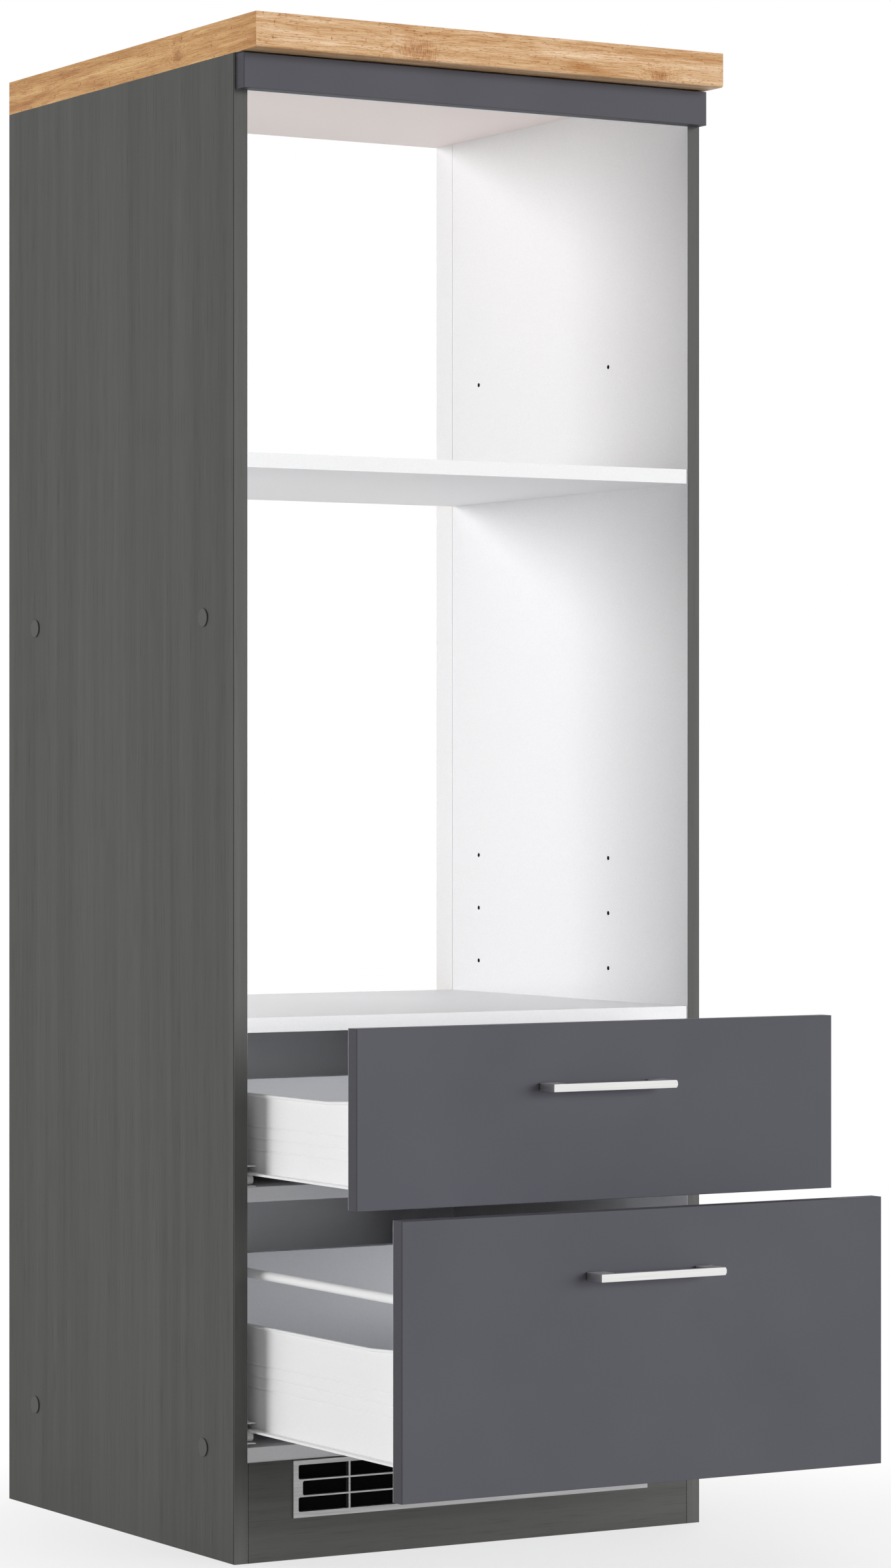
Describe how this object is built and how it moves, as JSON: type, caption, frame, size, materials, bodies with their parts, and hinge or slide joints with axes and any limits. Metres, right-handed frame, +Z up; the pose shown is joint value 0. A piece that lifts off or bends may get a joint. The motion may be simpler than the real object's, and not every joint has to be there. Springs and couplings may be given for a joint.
{
  "type": "oven housing cabinet",
  "caption": "Tall kitchen housing cabinet with open niches for a built-in oven and a microwave, steel-walled pull-out drawers on roller runners, a wood-decor worktop and a vented plinth.",
  "frame": {"origin": "on the floor, in the middle of the width, at the carcass's front plane", "axes": "+X to the right seen from the front, +Y to the back, +Z up; the drawers pull out along -Y"},
  "size_m": [0.603, 0.932, 1.66],
  "materials": {
    "oak_decor": "matte oak decor laminate",
    "graphite_board": "graphite wood-grain melamine outside, white inside",
    "anthracite_front": "matte lacquer",
    "white_board": "white melamine",
    "white_steel": "epoxy powder coat",
    "stainless_steel": "brushed",
    "zinc_steel": "zinc plated",
    "grille_aluminium": "satin anodised",
    "black_plastic": "matte",
    "graphite_caps": "matte",
    "white_plastic": "satin nylon",
    "clear_bumper": "soft translucent",
    "beech_dowels": "bare"
  },
  "bodies": {
    "cabinet": {"left_side_panel": "graphite_board", "right_side_panel": "graphite_board", "worktop": "oak_decor", "bottom_panel": "white_board", "drawer_divider": "white_board", "oven_floor_panel": "white_board", "microwave_shelf": "white_board", "back_panel": "white_board", "joint_dowels": "beech_dowels", "side_cover_caps": "graphite_caps", "top_front_rail": "white_board", "fascia_panel": "anthracite_front", "fascia_screws": "zinc_steel", "worktop_brackets": "zinc_steel", "worktop_bracket_screws": "zinc_steel", "plinth_board": "graphite_board", "plinth_vent_grille": "grille_aluminium", "plinth_vent_mesh": "black_plastic", "runner_screws": "zinc_steel", "runner_roller_axles": "zinc_steel", "upper_left_runner": "white_steel", "upper_right_runner": "white_steel", "lower_left_runner": "white_steel", "lower_right_runner": "white_steel"},
    "upper_drawer": {"upper_drawer_front": "anthracite_front", "upper_drawer_left_wall": "white_steel", "upper_drawer_right_wall": "white_steel", "upper_drawer_base": "white_board", "upper_drawer_back": "white_board", "upper_drawer_front_brackets": "zinc_steel", "upper_drawer_screws": "zinc_steel", "upper_drawer_roller_axles": "zinc_steel", "upper_drawer_bumpers": "clear_bumper", "upper_drawer_handle": "stainless_steel", "upper_drawer_handle_spacers": "black_plastic", "upper_drawer_handle_screws": "zinc_steel"},
    "upper_left_front_roller": {"upper_left_front_roller": "white_plastic"},
    "upper_left_rear_roller": {"upper_left_rear_roller": "white_plastic"},
    "upper_right_front_roller": {"upper_right_front_roller": "white_plastic"},
    "upper_right_rear_roller": {"upper_right_rear_roller": "white_plastic"},
    "lower_drawer": {"lower_drawer_front": "anthracite_front", "lower_drawer_left_wall": "white_steel", "lower_drawer_right_wall": "white_steel", "lower_drawer_base": "white_board", "lower_drawer_back": "white_board", "lower_drawer_front_brackets": "zinc_steel", "lower_drawer_screws": "zinc_steel", "lower_drawer_roller_axles": "zinc_steel", "lower_drawer_bumpers": "clear_bumper", "lower_drawer_handle": "stainless_steel", "lower_drawer_handle_spacers": "black_plastic", "lower_drawer_handle_screws": "zinc_steel", "lower_drawer_left_gallery_rail": "white_steel", "lower_drawer_right_gallery_rail": "white_steel", "lower_drawer_rail_sockets": "white_plastic"},
    "lower_left_front_roller": {"lower_left_front_roller": "white_plastic"},
    "lower_left_rear_roller": {"lower_left_rear_roller": "white_plastic"},
    "lower_right_front_roller": {"lower_right_front_roller": "white_plastic"},
    "lower_right_rear_roller": {"lower_right_rear_roller": "white_plastic"}
  },
  "joints": [
    {"name": "upper_drawer_slide", "type": "slide", "parent": "cabinet", "child": "upper_drawer", "axis": [0, -1, 0], "range_m": [-0.239, 0.136]},
    {"name": "lower_drawer_slide", "type": "slide", "parent": "cabinet", "child": "lower_drawer", "axis": [0, -1, 0], "range_m": [-0.33, 0.045]},
    {"name": "upper_left_front_roller_spin", "type": "hinge", "parent": "cabinet", "child": "upper_left_front_roller", "pos_m": [-0.27625, 0.014, 0.4112], "axis": [1, 0, 0], "range_deg": [-2490, 1417]},
    {"name": "upper_left_rear_roller_spin", "type": "hinge", "parent": "upper_drawer", "child": "upper_left_rear_roller", "pos_m": [-0.27625, 0.241, 0.4157], "axis": [1, 0, 0], "range_deg": [-1370, 780]},
    {"name": "upper_right_front_roller_spin", "type": "hinge", "parent": "cabinet", "child": "upper_right_front_roller", "pos_m": [0.27625, 0.014, 0.4112], "axis": [1, 0, 0], "range_deg": [-2490, 1417]},
    {"name": "upper_right_rear_roller_spin", "type": "hinge", "parent": "upper_drawer", "child": "upper_right_rear_roller", "pos_m": [0.27625, 0.241, 0.4157], "axis": [1, 0, 0], "range_deg": [-1370, 780]},
    {"name": "lower_left_front_roller_spin", "type": "hinge", "parent": "cabinet", "child": "lower_left_front_roller", "pos_m": [-0.27625, 0.014, 0.1347], "axis": [1, 0, 0], "range_deg": [-3438, 469]},
    {"name": "lower_left_rear_roller_spin", "type": "hinge", "parent": "lower_drawer", "child": "lower_left_rear_roller", "pos_m": [-0.27625, 0.15, 0.1392], "axis": [1, 0, 0], "range_deg": [-1891, 258]},
    {"name": "lower_right_front_roller_spin", "type": "hinge", "parent": "cabinet", "child": "lower_right_front_roller", "pos_m": [0.27625, 0.014, 0.1347], "axis": [1, 0, 0], "range_deg": [-3438, 469]},
    {"name": "lower_right_rear_roller_spin", "type": "hinge", "parent": "lower_drawer", "child": "lower_right_rear_roller", "pos_m": [0.27625, 0.15, 0.1392], "axis": [1, 0, 0], "range_deg": [-1891, 258]}
  ],
  "couplings": [
    {"joint": "upper_left_front_roller_spin", "follows": "upper_drawer_slide", "rad_per_m": 181.82},
    {"joint": "upper_left_rear_roller_spin", "follows": "upper_drawer_slide", "rad_per_m": 100},
    {"joint": "upper_right_front_roller_spin", "follows": "upper_drawer_slide", "rad_per_m": 181.82},
    {"joint": "upper_right_rear_roller_spin", "follows": "upper_drawer_slide", "rad_per_m": 100},
    {"joint": "lower_left_front_roller_spin", "follows": "lower_drawer_slide", "rad_per_m": 181.82},
    {"joint": "lower_left_rear_roller_spin", "follows": "lower_drawer_slide", "rad_per_m": 100},
    {"joint": "lower_right_front_roller_spin", "follows": "lower_drawer_slide", "rad_per_m": 181.82},
    {"joint": "lower_right_rear_roller_spin", "follows": "lower_drawer_slide", "rad_per_m": 100}
  ]
}
